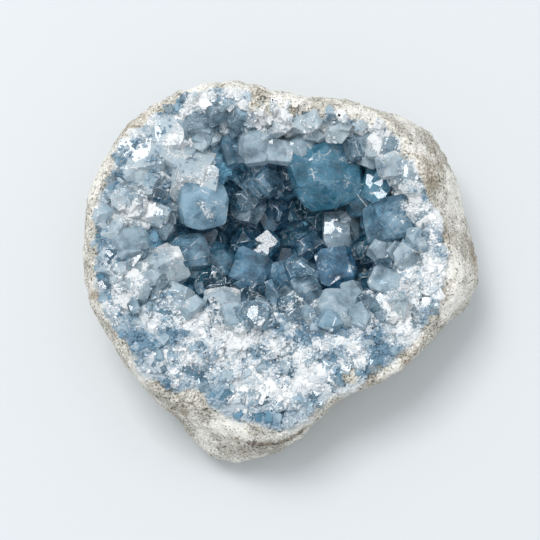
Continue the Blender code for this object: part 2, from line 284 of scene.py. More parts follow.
# Weathered limestone and freshly broken white celestite. The stone is dull and speckled with dark grains; the
# broken rim is sugary white in drifts, with blue-grey windows where a grain is clear enough to look into.
RIND_WHITE, RIND_CREAM, RIND_TAN, RIND_SPECK = "#f7f3ea", "#c6c1b4", "#9a8a72", "#54524e"
RIM_WHITE, RIM_PALE, RIM_BLUE, RIM_DARK = "#e3e5e5", "#a9bac6", "#6a8a9f", "#3c5f73"
# The rock under the crystals, blue in the depth, and the heights between which that ends. The blue is the
# lining's own colour, and its being darker than the rim low in the hollow is painted shade.
UNDER_CRYSTAL_BLUE_AND_SHADE = "#72a9c4"
UNDER_LOW, UNDER_HIGH = 40 * MM, 54 * MM
LIMESTONE_IOR = 1.55
# A Mix node's settings and the places of its sockets for colours.
MIX = {"data_type": "RGBA"}
MIX_SHARE, MIX_A, MIX_B, MIX_RESULT = 0, 6, 7, 2
SOFT = {"interpolation_type": "SMOOTHSTEP"}
MULTIPLY_ADD = {"operation": "MULTIPLY_ADD"}
# The drifts: the largest is as wide as a thumb, and each octave is half of the last, down to single grains.
DRIFT_SIZE, DRIFT_OCTAVES, DRIFT_ROUGHNESS = 13, 5.0, 0.64
# Grains of grit and dark specks, drawn coarser than the real ones, which are mostly under half a millimetre,
# and the tan stains.
GRIT_SIZE, SPECKLE_SIZE, STAIN_SIZE = 0.8, 1.0, 16
# The line where the rind ends: how far it wanders with the drifts, and where it starts and ends.
RIM_LINE_WANDER, RIM_LINE_START, RIM_LINE_END = 12.0, 5.5, 8.5
# How deep the relief of the stone's grit is.
STONE_BUMP = 0.5 * MM


def drifts_and_grit(tree, place):
    """How white the celestite is at a place, in drifts, and how white in its grains. Both lie round 0.5."""
    drift = add_node(
        tree,
        "ShaderNodeTexNoise",
        (),
        {"Vector": place, "Scale": per_mm(DRIFT_SIZE), "Detail": DRIFT_OCTAVES, "Roughness": DRIFT_ROUGHNESS},
        "Fac",
    )
    grit = add_node(
        tree, "ShaderNodeTexNoise", (), {"Vector": place, "Scale": per_mm(GRIT_SIZE), "Detail": 2.0}, "Fac"
    )
    return drift, grit


def rim_colour(tree, drift, grit):
    """The colour of broken celestite: blue-grey where it is clear, white where it is sugary."""
    paler = add_node(tree, "ShaderNodeMapRange", SOFT, {"Value": drift, "From Min": 0.4, "From Max": 0.5})
    white = add_node(tree, "ShaderNodeMath", MULTIPLY_ADD, {0: grit, 1: 0.4, 2: drift})
    sugary = add_node(tree, "ShaderNodeMapRange", SOFT, {"Value": white, "From Min": 0.64, "From Max": 0.76})
    colour = linear(RIM_BLUE)
    for share, tone in ((paler, RIM_PALE), (sugary, RIM_WHITE)):
        layers = {MIX_SHARE: share, MIX_A: colour, MIX_B: linear(tone)}
        colour = add_node(tree, "ShaderNodeMix", MIX, layers, MIX_RESULT)
    return colour


stone, tree, shader = new_material("weathered_limestone_and_broken_celestite")
place = add_node(tree, "ShaderNodeTexCoord", output="Object")
inset, cover, grain, stain_and_crevice_shade, grey = (
    add_node(tree, "ShaderNodeAttribute", {"attribute_name": name}, output="Fac") for name in STONE_LAYERS
)
drift, grit = drifts_and_grit(tree, place)
stain = add_node(
    tree, "ShaderNodeTexNoise", (), {"Vector": place, "Scale": per_mm(STAIN_SIZE), "Detail": 3.0}, "Fac"
)
speckle = add_node(
    tree,
    "ShaderNodeTexNoise",
    (),
    {"Vector": place, "Scale": per_mm(SPECKLE_SIZE), "Detail": 3.0, "Roughness": 0.7},
    "Fac",
)
# The rind: white and cream by drifts, tan in stains, and dark grains crowded where the stone is cream.
white = add_node(tree, "ShaderNodeMath", MULTIPLY_ADD, {0: grit, 1: 0.5, 2: drift})
white = add_node(tree, "ShaderNodeMapRange", SOFT, {"Value": white, "From Min": 0.66, "From Max": 0.82})
stain = add_node(tree, "ShaderNodeMath", MULTIPLY_ADD, {0: speckle, 1: 0.6, 2: stain})
# Near the crevice the rind is browner, a stain, and the dark grains crowded there are painted shade.
stain = add_node(tree, "ShaderNodeMath", MULTIPLY_ADD, {0: stain_and_crevice_shade, 1: 0.35, 2: stain})
tan = add_node(
    tree, "ShaderNodeMapRange", SOFT, {"Value": stain, "From Min": 0.82, "From Max": 1.05, "To Max": 0.85}
)
crowded = add_node(tree, "ShaderNodeMath", MULTIPLY_ADD, {0: drift, 1: -0.35, 2: speckle})
crowded = add_node(tree, "ShaderNodeMath", MULTIPLY_ADD, {0: stain_and_crevice_shade, 1: 0.1, 2: crowded})
specks = add_node(
    tree, "ShaderNodeMapRange", SOFT, {"Value": crowded, "From Min": 0.37, "From Max": 0.47, "To Max": 0.9}
)
rind = linear(RIND_CREAM)
for share, tone in ((white, RIND_WHITE), (tan, RIND_TAN), (specks, RIND_SPECK)):
    layers = {MIX_SHARE: share, MIX_A: rind, MIX_B: linear(tone)}
    rind = add_node(tree, "ShaderNodeMix", MIX, layers, MIX_RESULT)
# The rim, and the line where the rind ends, which wanders by a few millimetres.
broken = rim_colour(tree, drift, grit)
window = add_node(tree, "ShaderNodeMath", MULTIPLY_ADD, {0: speckle, 1: 0.3, 2: grain})
dark = add_node(tree, "ShaderNodeMapRange", SOFT, {"Value": window, "From Min": 1.08, "From Max": 1.12})
wander = add_node(tree, "ShaderNodeMath", MULTIPLY_ADD, {0: drift, 1: RIM_LINE_WANDER, 2: inset})
edge = add_node(
    tree, "ShaderNodeMapRange", SOFT, {"Value": wander, "From Min": RIM_LINE_START, "From Max": RIM_LINE_END}
)
outer = add_node(tree, "ShaderNodeMath", {"operation": "MULTIPLY", "use_clamp": True}, {0: grey, 1: 0.6})
rim = broken
for share, tone in ((dark, RIM_DARK), (outer, RIM_BLUE)):
    layers = {MIX_SHARE: share, MIX_A: rim, MIX_B: linear(tone)}
    rim = add_node(tree, "ShaderNodeMix", MIX, layers, MIX_RESULT)
surface = add_node(tree, "ShaderNodeMix", MIX, {MIX_SHARE: edge, MIX_A: rind, MIX_B: rim}, MIX_RESULT)
height = add_node(tree, "ShaderNodeSeparateXYZ", (), {"Vector": place}, "Z")
depth = add_node(
    tree, "ShaderNodeMapRange", (), {"Value": height, "From Min": UNDER_LOW, "From Max": UNDER_HIGH}
)
# Under the crust: blue and darker below UNDER_LOW, partly the lining's own blue, partly painted shade.
layers = {MIX_SHARE: depth, MIX_A: linear(UNDER_CRYSTAL_BLUE_AND_SHADE), MIX_B: broken}
under_blue_and_shade = add_node(tree, "ShaderNodeMix", MIX, layers, MIX_RESULT)
surface = add_node(tree, "ShaderNodeMix", MIX, {MIX_SHARE: cover, MIX_A: surface, MIX_B: under_blue_and_shade}, MIX_RESULT)
tree.links.new(surface, shader.inputs["Base Color"])
dull = add_node(tree, "ShaderNodeMapRange", (), {"Value": edge, "To Min": 0.9, "To Max": 0.5})
tree.links.new(dull, shader.inputs["Roughness"])
uneven = add_node(tree, "ShaderNodeMath", MULTIPLY_ADD, {0: speckle, 1: 1.5, 2: grit})
bump = add_node(
    tree, "ShaderNodeBump", (), {"Strength": 0.8, "Distance": STONE_BUMP, "Height": uneven}, "Normal"
)
tree.links.new(bump, shader.inputs["Normal"])
shader.inputs["IOR"].default_value = LIMESTONE_IOR
finish_piece("rock_matrix_stone", rock_mesh, stone, "rock", "rock_matrix")

# The crystals. Celestite grows as blocks with flat faces, grey-blue and clear inside, milky where they are
# flawed. The large ones lie where the frame's crust has them, and small ones fill the gaps. Each is a block
# cut by planes, and all are joined in one skin, with their roots in the rock.
Crystal = namedtuple("Crystal", "tip bearing rise size turn end look glint", defaults=(None,))
# How each kind looks, from 0 to 1: how pale, how milky, how frosted with white, and how blue and not teal.
LOOKS = {
    "deep": (0.05, 0.25, 0.0, 0.5),
    "navy": (0.0, 0.35, 0.0, 1.0),
    "vivid": (0.2, 0.4, 0.0, 0.9),
    "sea": (0.0, 0.5, 0.0, 0.35),
    "hazy": (0.4, 0.6, 0.2, 0.3),
    "blue": (0.35, 0.35, 0.1, 0.6),
    "clear": (0.6, 0.3, 0.15, 0.3),
    "pale": (0.7, 0.45, 0.25, 0.4),
    "milky": (0.85, 0.6, 0.45, 0.4),
    "white": (0.95, 0.7, 0.6, 0.5),
}
CRYSTALS = [
    # Back wall.
    Crystal((18, 37, 50), -85, 64, (28, 28, 36), 15, "dome", "sea"),
    Crystal((29, 46, 56), -110, 62, (13, 11, 22), 30, "roof", "clear"),
    Crystal((-18, 47, 46), -80, 50, (12, 14, 26), 10, "wedge", "blue"),
    Crystal((-5, 36, 43), -80, 58, (12, 13, 28), 35, "roof", "blue"),
    Crystal((-16, 38, 37), -70, 45, (9, 9, 22), 20, "roof", "deep"),
    Crystal((-10, 47, 52), -95, 65, (10, 14, 22), 10, "slab", "pale"),
    Crystal((0, 46, 51), -90, 62, (10, 13, 22), 80, "slab", "pale"),
    Crystal((-22, 59, 51), -80, 45, (13, 10, 22), 20, "roof", "deep"),
    Crystal((-14, 58, 51), -85, 45, (11, 10, 22), 60, "roof", "deep"),
    Crystal((8, 46, 53), -90, 55, (9, 9, 20), 30, "roof", "pale"),
    # Rim at the back left.
    Crystal((-26, 63, 59), 100, 55, (8, 9, 14), 20, "slab", "clear"),
    Crystal((-32, 60, 57), 95, 70, (14, 8, 14), 0, "slab", "clear"),
    Crystal((-18, 64, 58), 90, 65, (9, 9, 14), 40, "roof", "clear"),
    Crystal((-39, 57, 58), 120, 75, (10, 10, 14), 30, "roof", "pale"),
    Crystal((-44, 52, 58), -110, 78, (14, 13, 18), 25, "slab", "white"),
    Crystal((-40, 45, 56), -45, 66, (22, 17, 26), 20, "wedge", "milky"),
    Crystal((-53, 44, 57), -90, 75, (17, 13, 18), 5, "slab", "white", 0.6),
    Crystal((-61, 45, 56), 170, 75, (10, 11, 16), 40, "roof", "milky"),
    Crystal((-57, 38, 56), -120, 75, (12, 9, 16), 0, "wedge", "white"),
    Crystal((-30, 54, 56), -70, 64, (11, 12, 20), 50, "roof", "pale"),
    # Left wall.
    Crystal((-28, 25, 51), -50, 66, (20, 19, 32), 50, "dome", "hazy"),
    Crystal((-33, 36, 55), -70, 72, (22, 16, 28), 65, "roof", "white"),
    Crystal((-47, 22, 53), -20, 68, (10, 9, 20), 10, "roof", "white", 2.0),
    Crystal((-56, 11, 55), 10, 74, (9, 15, 20), 0, "slab", "pale"),
    Crystal((-55, -6, 52), 60, 74, (13, 10, 18), 15, "slab", "milky"),
    Crystal((-62, 16, 56), 40, 78, (9, 11, 16), 30, "wedge", "white"),
    Crystal((-42, 4, 50), 20, 68, (16, 20, 26), 10, "roof", "white"),
    Crystal((-33, 10, 43), 15, 60, (13, 15, 24), 0, "slab", "blue"),
    Crystal((-39, 22, 38), -10, 45, (10, 10, 24), 40, "wedge", "deep"),
    Crystal((-47, 16, 34), 0, 40, (8, 8, 20), 20, "roof", "deep"),
    # Floor.
    Crystal((-22, 9, 37), 30, 65, (13, 14, 24), 30, "dome", "deep"),
    Crystal((-11, 6, 35), 60, 72, (15, 16, 24), 5, "slab", "vivid"),
    Crystal((-1, 3, 35), 90, 70, (13, 16, 24), 20, "wedge", "vivid"),
    Crystal((10, 5, 34), 100, 72, (15, 15, 24), 40, "roof", "blue"),
    Crystal((-9, 26, 34), -50, 40, (15, 10, 26), 30, "wedge", "clear"),
    Crystal((-6, 16, 31), 120, 82, (11, 9, 20), 10, "slab", "deep", 0.7),
    Crystal((22, 22, 34), 170, 75, (18, 12, 24), 10, "slab", "clear", 0.8),
    Crystal((22, 6, 35), 100, 80, (15, 18, 24), 3, "slab", "navy"),
    Crystal((9, 20, 26), 0, 80, (10, 10, 16), 30, "roof", "deep"),
    Crystal((-16, 24, 29), -20, 65, (9, 9, 20), 50, "roof", "deep"),
    Crystal((5, 29, 25), -80, 60, (9, 9, 20), 20, "wedge", "deep"),
    # Right wall.
    Crystal((31, 29, 41), -120, 50, (13, 14, 34), 30, "slab", "sea"),
    Crystal((36, 34, 47), -150, 60, (12, 15, 28), 35, "slab", "sea", 0.8),
    Crystal((41, 21, 50), 180, 66, (18, 26, 30), 10, "dome", "blue"),
    Crystal((39, 11, 46), 165, 64, (15, 14, 26), 60, "wedge", "pale"),
    Crystal((40, -4, 50), 150, 70, (10, 15, 24), 5, "slab", "pale"),
    Crystal((41, 45, 60), -130, 75, (10, 11, 20), 20, "wedge", "clear"),
    Crystal((48, 36, 60), -160, 76, (11, 9, 18), 70, "roof", "milky"),
    # Front wall.
    Crystal((20, -12, 46), 95, 68, (19, 16, 26), 20, "dome", "pale"),
    Crystal((28, -6, 41), 100, 62, (8, 12, 22), 10, "slab", "pale"),
    Crystal((38, -13, 51), 120, 76, (11, 9, 18), 15, "wedge", "clear", 1.0),
    Crystal((-22, -9, 43), 80, 60, (17, 14, 26), 15, "dome", "milky"),
    Crystal((-37, -8, 47), 60, 66, (12, 9, 20), 10, "roof", "milky"),
    Crystal((3, -5, 38), 90, 60, (8, 8, 20), 30, "roof", "clear"),
    Crystal((-7, -10, 41), 90, 60, (11, 9, 20), 70, "roof", "clear"),
    Crystal((34, 2, 32), 130, 55, (9, 9, 22), 40, "roof", "deep"),
]
# The way a face looks that mirrors the softbox to someone who stands at the front. A crystal's glint is how
# far under its tip it has such a face. Other faces are turned to stay this many degrees off that way.
GLINT_NORMAL = Vector((-0.123, -0.012, 0.992))
GLINT_SPREAD = 12
# A crystal's faces: (bearing, tilt from its axis, where the face starts as a share of half its size there).
# The jitter is how far each of the three may be off.
END_FACES = {
    "roof": [(0, 52, 0.1), (180, 50, 0.15), (90, 62, 0.45), (270, 60, 0.5)]
    + [(k * 90 + 45, 58, 0.5) for k in range(4)],
    "dome": [(k * 72 + 20, 24, 0.2) for k in range(5)]
    + [(k * 45 + 10, 46, 0.55) for k in range(8)]
    + [(k * 36 + 32, 68, 0.74) for k in range(10)]
    + [(k * 30 + 22, 88, 0.82) for k in range(12)],
    "slab": [(30, 22, 0.2), (180, 40, 0.6), (90, 50, 0.7), (270, 62, 0.75)]
    + [(k * 90 + 45, 60, 0.75) for k in range(4)],
    "wedge": [(0, 36, -0.1), (180, 64, 0.45), (90, 60, 0.6), (270, 58, 0.55)]
    + [(k * 90 + 45, 62, 0.6) for k in range(4)],
    "grain": [(10, 48, 0.1), (130, 52, 0.2), (250, 56, 0.3), (70, 66, 0.5), (300, 70, 0.55)],
}
SIDE_FACES = [(k * 90 + 45, 90, 0.84) for k in range(4)]
FACE_JITTER = (7, 5, 0.07)
# Chips and small growth faces that take off corners anywhere: the least and the most of their three values.
CHIPS, CHIP_FACE = 4, ((0, 360), (25, 85), (0.72, 0.95))
# How near a cut a corner of the block counts as being on it.
CUT_MERGE = 1e-5
# How wide the bevelled edges are, which are painted white as highlight. A dome's edges are rounded and get
# no painted highlight.
EDGE_WIDTH_LARGE, EDGE_WIDTH_SMALL = 0.3, 0.18
EDGE_WIDTH_DOME, EDGE_STEPS_DOME = 1.4, 3
# What the material reads of each face: the four values of its crystal's look, one of the crystal's own, the
# painted highlight on bevelled edges, and cracks.
LOOK_LAYERS = ("pale", "milky", "frost", "blue", "own", "edge_highlight", "crack")
# Cleavage cracks: how many, how wide open, how long at the least, and how far from the faces.
CRACKS_LARGE, CRACKS_SMALL = 3, 1
CRACK_GAP, CRACK_LENGTH, CRACK_INSET = 0.05, 8, 0.45
# How deep one lies and how far off the axis, as shares of the crystal's size. The depth counts no further
# than this many widths.
CRACK_DEPTH, CRACK_OFF_AXIS, CRACK_DEEPEST = (0.1, 0.7), 0.25, 1.5
# How it leans from level, how far off that it may be, and the cuts that give it an uneven outline.
CRACK_LEANS, CRACK_LEAN_OFF = (8, 38, 76), 9
CRACK_CUTS, CRACK_CUT_PLACE = 3, (0.15, 0.5)
# The fewest faces of a crack that is left closed by the crystal's own cuts.
CRACK_FACES = 5
# How far the roots reach into the rock, the shortest a crystal may be, and how far its foot stays inside.
ROOT_IN_ROCK, ROOT_SHORTEST, ROOT_CLEAR = 4.0, 3.0, 1.0
# A face of the rock that looks down more than this is on its outside.
UNDERSIDE_FALL = 0.3
# Side growths: smaller crystals, parallel to the large one that they grow on, each a step lower.
GROWTHS = {"roof": 1, "slab": 1, "wedge": 2, "dome": 0}
GROWTH_SIZE, GROWTH_OFFSET, GROWTH_DROP, GROWTH_TURN = (0.5, 0.75), (0.25, 0.42), (0.8, 3.0), 6
# The small crystals in the gaps. They are smaller and paler towards the rim and lean at random. Part of
# that paleness is painted light: the low ones are darker as painted shade of the hollow's depth.
SMALL_COUNT, SMALL_GAP = 420, 2.8
SMALL_WIDTH_DEEP, SMALL_WIDTH_HIGH = (5.0, 13.0), (3.0, 10.0)
DEEP_LEVEL, HIGH_LEVEL = 26, 56
SMALL_LEAN, SMALL_UPWARD = 0.5, 0.5
SMALL_STAND_OUT_DEEP, SMALL_STAND_OUT_HIGH = (0.7, 1.5), (0.35, 0.8)
SMALL_SLIMMEST = 0.6
# How pale, milky and frosted they are at the edge, and how far off each may be.
SMALL_LOOK_HIGH, SMALL_LOOK_OFF = (0.9, 0.6, 0.5), (-0.15, 0.3)
# How far inside the rim's outer edge their tips stay.
SMALL_MARGIN = 2.0
# The tiny ones, which lie near the hollow's edge, and how pale, milky and frosted they are.
TINY_COUNT, TINY_GAP, TINY_WIDTH, TINY_STAND_OUT = 350, 2.0, (2.0, 5.0), (0.0, 0.4)
TINY_LEVEL = 44 * MM
TINY_LOOK = ((0.4, 1), (0.2, 0.9), (0.2, 1))
# How many places are tried for each point that is wanted.
TRIES = 6
SEED = 7


def direction(bearing, rise):
    """The unit vector at a bearing and a rise in degrees."""
    flat = math.cos(math.radians(rise))
    bearing = math.radians(bearing)
    return Vector((flat * math.cos(bearing), flat * math.sin(bearing), math.sin(math.radians(rise))))


def cut_face(bm, point, normal):
    """Cuts a convex block by a plane, drops what lies outside it and closes the cut with one face."""
    geometry = [*bm.verts, *bm.edges, *bm.faces]
    cut = bmesh.ops.bisect_plane(
        bm, geom=geometry, dist=CUT_MERGE, plane_co=point, plane_no=normal, clear_outer=True
    )
    edges = [item for item in cut["geom_cut"] if isinstance(item, bmesh.types.BMEdge)]
    if edges:
        bmesh.ops.holes_fill(bm, edges=edges, sides=0)


def cutting_planes(size, end, rng):
    """The planes that cut a crystal out of its block, as points and normals in millimetres."""
    width, thickness, _ = size
    chips = 0 if end == "dome" else CHIPS
    faces = [tuple(rng.uniform(*limits) for limits in CHIP_FACE) for _ in range(chips)]
    planes = []
    for face in (SIDE_FACES if end != "grain" else []) + END_FACES[end]:
        bearing, tilt, start = (value + rng.uniform(-off, off) for value, off in zip(face, FACE_JITTER))
        faces.append((bearing, tilt, start))
    for bearing, tilt, start in faces:
        out = direction(bearing, 0)
        half = abs(out.x) * width / 2 + abs(out.y) * thickness / 2
        planes.append((out * half * start, direction(bearing, max(90 - tilt, 0))))
    return planes


def turned_off(normal, mirror):
    """A face's normal, turned off the way that mirrors the softbox where it is close to that."""
    lack = math.radians(GLINT_SPREAD) - normal.angle(mirror)
    if lack < 0:
        return normal
    return Matrix.Rotation(lack, 3, mirror.cross(normal)) @ normal


def new_mesh(name, bm, matrix):
    """A mesh from a bmesh, once it is put in place."""
    bm.transform(matrix)
    mesh = bpy.data.meshes.new(name)
    store(bm, mesh)
    return mesh


def set_look(bm, values):
    """Gives every face the values that the material reads, in the order of LOOK_LAYERS."""
    layers = [bm.faces.layers.float.new(name) for name in LOOK_LAYERS]
    for face in bm.faces:
        for layer, value in zip(layers, values):
            face[layer] = value
    return layers


def cleavage_crack(size, planes, look, rng):
    """A thin flat gap inside a crystal, along one of its cleavage planes, or None where it falls outside."""
    width, thickness, length = size
    bm = bmesh.new()
    bmesh.ops.create_cube(bm, size=1.0)
    bmesh.ops.scale(bm, vec=(width, max(thickness, CRACK_LENGTH), CRACK_GAP), verts=bm.verts)
    for _ in range(CRACK_CUTS):
        out = direction(rng.uniform(0, 360), 0)
        cut_face(bm, out * width * rng.uniform(*CRACK_CUT_PLACE), out)
    angle = rng.choice(CRACK_LEANS) + rng.uniform(-CRACK_LEAN_OFF, CRACK_LEAN_OFF)
    lean = Matrix.Rotation(math.radians(angle), 4, "X")
    turn = Matrix.Rotation(rng.uniform(0, math.tau), 4, "Z")
    centre = [rng.uniform(-CRACK_OFF_AXIS, CRACK_OFF_AXIS) * extent for extent in (width, thickness)]
    depth = -rng.uniform(*CRACK_DEPTH) * min(length, width * CRACK_DEEPEST)
    bm.transform(Matrix.Translation((*centre, depth)) @ turn @ lean)
    sides = [(Vector((sign * width / 2, 0, 0)), Vector((sign, 0, 0))) for sign in (-1, 1)]
    sides += [(Vector((0, sign * thickness / 2, 0)), Vector((0, sign, 0))) for sign in (-1, 1)]
    for point, normal in [*planes, *sides]:
        cut_face(bm, point - normal * CRACK_INSET, normal)
    if len(bm.faces) < CRACK_FACES:
        bm.free()
        return None
    bmesh.ops.recalc_face_normals(bm, faces=bm.faces)
    set_look(bm, (*look, rng.random(), 0, 1))
    return bm


def grow_crystal(tip, axis, size, turn, end, look, edge_width, crack_count, rng, glint=None):
    """Adds one crystal to the blocks, and its cracks. Its sizes are in millimetres, its tip in metres."""
    width, thickness, length = size
    turned = axis.to_track_quat("Z", "Y").to_matrix().to_4x4()
    own_turn = Matrix.Rotation(math.radians(turn), 4, "Z")
    placed = Matrix.Translation(tip) @ turned @ own_turn @ Matrix.Scale(MM, 4)
    mirror = (placed.to_3x3().inverted() @ GLINT_NORMAL).normalized()
    planes = [(point, turned_off(normal, mirror)) for point, normal in cutting_planes(size, end, rng)]
    if glint is not None:
        planes.append((Vector((0, 0, -glint)), mirror))
    bm = bmesh.new()
    bmesh.ops.create_cube(bm, size=1.0)
    bmesh.ops.scale(bm, vec=size, verts=bm.verts)
    bmesh.ops.translate(bm, vec=(0, 0, -length / 2), verts=bm.verts)
    for point, normal in planes:
        cut_face(bm, point, normal)
    bmesh.ops.recalc_face_normals(bm, faces=bm.faces)
    layers = set_look(bm, (*look, rng.random(), 0, 0))
    is_dome = end == "dome"
    edge_highlight = bmesh.ops.bevel(
        bm,
        geom=list(bm.edges),
        offset=EDGE_WIDTH_DOME if is_dome else edge_width,
        segments=EDGE_STEPS_DOME if is_dome else 1,
        clamp_overlap=True,
        affect="EDGES",
        profile=0.5,
        material=-1,
    )["faces"]
    # The bevel's faces carry the painted edge highlight, except on a dome.
    for face in edge_highlight:
        face[layers[LOOK_LAYERS.index("edge_highlight")]] = 0 if is_dome else 1
    blocks.append(new_mesh("block", bm, placed))
    for _ in range(crack_count):
        crack = cleavage_crack(size, planes, look, rng)
        if crack:
            cracks.append(new_mesh("crack", crack, placed))


def is_outside(point):
    """Whether a point lies outside the nodule, by its rind and not in its hollow."""
    nearest, normal, _, _ = rock_tree.find_nearest(point)
    out = nearest - TABLE_ZERO
    is_by_rind = normal.x * out.x + normal.y * out.y > 0 or normal.z < -UNDERSIDE_FALL
    return is_by_rind and (point - nearest).dot(normal) > -ROOT_CLEAR * MM


def rooted(tip, axis, size):
    """A crystal's size, shortened so that it ends a little under the rock's surface and not outside it."""
    width, thickness, length = size
    hit = rock_tree.ray_cast(tip, -axis)
    depth = (hit[3] or 0) / MM
    length = min(length, max(depth, ROOT_SHORTEST) + ROOT_IN_ROCK)
    along_axis = axis.to_track_quat("Z", "Y")
    half = (width + thickness) / 4
    around_foot = [along_axis @ Vector((x * half, y * half, 0)) for x in (-1, 0, 1) for y in (-1, 0, 1)]
    while length > ROOT_SHORTEST and any(is_outside(tip + (off - axis * length) * MM) for off in around_foot):
        length -= 1
    return width, thickness, length


def grow_large(crystal, rng):
    """Grows one large crystal and the smaller ones on its sides."""
    tip = Vector(crystal.tip) * MM + TABLE_ZERO
    axis = direction(crystal.bearing, crystal.rise)
    width, thickness, length = crystal.size
    look = LOOKS[crystal.look]
    size = rooted(tip, axis, crystal.size)
    grow_crystal(
        tip, axis, size, crystal.turn, crystal.end, look, EDGE_WIDTH_LARGE, CRACKS_LARGE, rng, crystal.glint
    )
    across = axis.to_track_quat("Z", "Y") @ Vector((1, 0, 0))
    for _ in range(GROWTHS[crystal.end]):
        sideways = Matrix.Rotation(rng.uniform(0, math.tau), 3, axis) @ across
        share = rng.uniform(*GROWTH_SIZE)
        start = tip + sideways * (rng.uniform(*GROWTH_OFFSET) * (width + thickness) / 2 * MM)
        start -= axis * rng.uniform(*GROWTH_DROP) * MM
        size = rooted(start, axis, (width * share, thickness * share, length))
        end = rng.choice(("roof", "wedge", "slab"))
        turn = crystal.turn + rng.uniform(-GROWTH_TURN, GROWTH_TURN)
        grow_crystal(start, axis, size, turn, end, look, EDGE_WIDTH_SMALL, CRACKS_SMALL, rng)


def points_on(mesh, chosen, count, gap, rng):
    """Random points, even over the chosen faces of a mesh, no two of them closer than the gap."""
    faces = [face for face in mesh.polygons if chosen(face)]
    sums = list(itertools.accumulate(face.area for face in faces))
    cells = {}
    found = []
    for _ in range(count * TRIES):
        if len(found) == count:
            break
        face = faces[bisect.bisect_left(sums, rng.random() * sums[-1])]
        a, b, c = (mesh.vertices[k].co for k in face.vertices[:3])
        first, second = sorted((rng.random(), rng.random()))
        point = a * first + b * (second - first) + c * (1 - second)
        cell = [int(value // gap) for value in point]
        near = itertools.product(*((value - 1, value, value + 1) for value in cell))
        if any((kept - point).length < gap for key in near for kept in cells.get(key, ())):
            continue
        cells.setdefault(tuple(cell), []).append(point)
        found.append((point, face.normal.copy()))
    return found


def combine(first, others, operation):
    """Joins many closed meshes to the first, or cuts them out of it, in one step."""
    item = bpy.data.objects.new("combined", first)
    bpy.context.scene.collection.objects.link(item)
    group = bpy.data.collections.new("others")
    for mesh in others:
        group.objects.link(bpy.data.objects.new("other", mesh))
    boolean = item.modifiers.new("boolean", "BOOLEAN")
    boolean.operation = operation
    boolean.solver = "MANIFOLD"
    boolean.operand_type = "COLLECTION"
    boolean.collection = group
    combined = bpy.data.meshes.new_from_object(item.evaluated_get(bpy.context.evaluated_depsgraph_get()))
    for mesh in (first, *others):
        bpy.data.meshes.remove(mesh)
    bpy.data.collections.remove(group)
    return combined


def joined_skin():
    """One closed skin round all the blocks that were grown, with their cracks as gaps inside it."""
    skin = combine(blocks[0], blocks[1:], "UNION")
    if cracks:
        skin = combine(skin, cracks, "DIFFERENCE")
    blocks.clear()
    cracks.clear()
    bm = bmesh.new()
    bm.from_mesh(skin)
    keep_in_box(bm)
    store(bm, skin)
    return skin


def is_under_crust(face):
    """Whether the frame's crust covers this face of the rock."""
    return crust_tree.find_nearest(face.center, COVER_REACH)[0] is not None


def is_under_edge(face):
    """Whether a face of the rock lies under the crust near the hollow's edge."""
    return face.center.z > TINY_LEVEL and is_under_crust(face)


def clear_of_large(tip):
    """Whether a small crystal's tip isn't in front of a large one."""
    for crystal in CRYSTALS:
        axis = direction(crystal.bearing, crystal.rise)
        away = tip - (Vector(crystal.tip) * MM + TABLE_ZERO)
        along = away.dot(axis)
        width, thickness, length = crystal.size
        if (away - along * axis).length < (width + thickness) / 4 * MM and along > -length / 2 * MM:
            return False
    return True


def between(deep, high, share, rng):
    """A random value from a range that runs from the one for the hollow's depth to the one for its edge."""
    return rng.uniform(*(low + (top - low) * share for low, top in zip(deep, high)))


rng = random.Random(SEED)
# What is grown and waits to be joined.
blocks, cracks = [], []
for crystal in CRYSTALS:
    grow_large(crystal, rng)
for root, normal in points_on(rock_node.data, is_under_crust, SMALL_COUNT, SMALL_GAP * MM, rng):
    high = min(max((root.z / MM - DEEP_LEVEL) / (HIGH_LEVEL - DEEP_LEVEL), 0), 1)
    lean = Vector([rng.uniform(-SMALL_LEAN, SMALL_LEAN) for _ in range(3)])
    axis = (normal + Vector((0, 0, SMALL_UPWARD)) + lean).normalized()
    width = between(SMALL_WIDTH_DEEP, SMALL_WIDTH_HIGH, high, rng)
    stand_out = width * between(SMALL_STAND_OUT_DEEP, SMALL_STAND_OUT_HIGH, high, rng)
    tip = root + axis * stand_out * MM
    if not clear_of_large(tip) or rim_inset(tip, UP) < SMALL_MARGIN * MM:
        continue
    size = rooted(tip, axis, (width, width * rng.uniform(SMALL_SLIMMEST, 1), stand_out + ROOT_IN_ROCK))
    # Paler the higher the root: partly the crystals' own tone, partly painted shade low in the hollow.
    look = [min(max(high * most + rng.uniform(*SMALL_LOOK_OFF), 0), 1) for most in SMALL_LOOK_HIGH]
    look.append(rng.random())
    end = rng.choice(("grain", "grain", "roof", "slab"))
    grow_crystal(tip, axis, size, rng.uniform(0, 180), end, look, EDGE_WIDTH_SMALL, CRACKS_SMALL, rng)
for root, normal in points_on(rock_mesh, is_under_edge, TINY_COUNT, TINY_GAP * MM, rng):
    lean = Vector([rng.uniform(-SMALL_LEAN, SMALL_LEAN) for _ in range(3)])
    axis = (normal + lean).normalized()
    width = rng.uniform(*TINY_WIDTH)
    tip = root + axis * width * rng.uniform(*TINY_STAND_OUT) * MM
    look = (*(rng.uniform(*limits) for limits in TINY_LOOK), rng.random())
    size = rooted(tip, axis, (width, width * rng.uniform(SMALL_SLIMMEST, 1), width + ROOT_IN_ROCK))
    grow_crystal(tip, axis, size, rng.uniform(0, 180), "grain", look, EDGE_WIDTH_SMALL, 0, rng)
crust_mesh = joined_skin()

